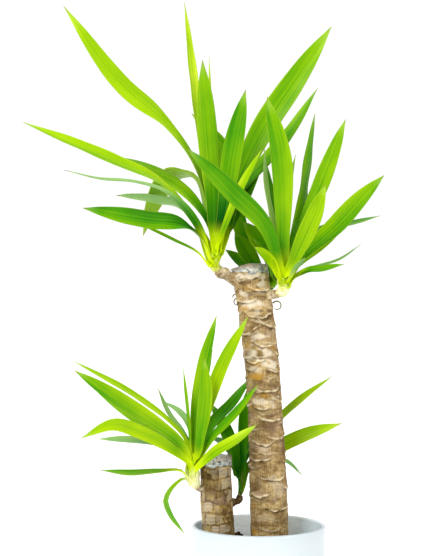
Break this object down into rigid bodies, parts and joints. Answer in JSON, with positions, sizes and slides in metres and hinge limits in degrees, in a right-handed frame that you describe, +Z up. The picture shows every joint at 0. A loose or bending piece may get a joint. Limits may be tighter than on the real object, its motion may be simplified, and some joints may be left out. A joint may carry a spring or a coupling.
{
  "type": "potted yucca",
  "caption": "Cane yucca in a straight round pot: sawn trunks with ridged bark stand in soil, and side stubs carry rosettes of long arching leaves.",
  "frame": {"origin": "centre of the pot's flat underside", "axes": "+Z up, along the canes; the side that is seen first, with the tall cane on the right, faces -Y; +X to its right"},
  "size_m": [0.5528, 0.3127, 0.9762],
  "materials": {
    "pot": "white, smooth, satin gloss",
    "soil": "dark, crumbly, moist",
    "tall_bark": "tan bark with cream leaf scars",
    "short_bark": "brown bark, cracked in blocks",
    "wax": "mottled grey wax",
    "upper_leaf": "glossy light green",
    "lower_leaf": "glossy green"
  },
  "bodies": {
    "root": {"pot": "pot", "soil": "soil", "tall_cane": "tall_bark", "short_cane": "short_bark", "tall_cane_wax_seal": "wax", "short_cane_wax_seal": "wax", "crown_upper_left": "upper_leaf", "crown_upper_right": "upper_leaf", "crown_upper_back": "upper_leaf", "crown_lower_left": "lower_leaf", "crown_lower_right": "lower_leaf"}
  },
  "joints": []
}
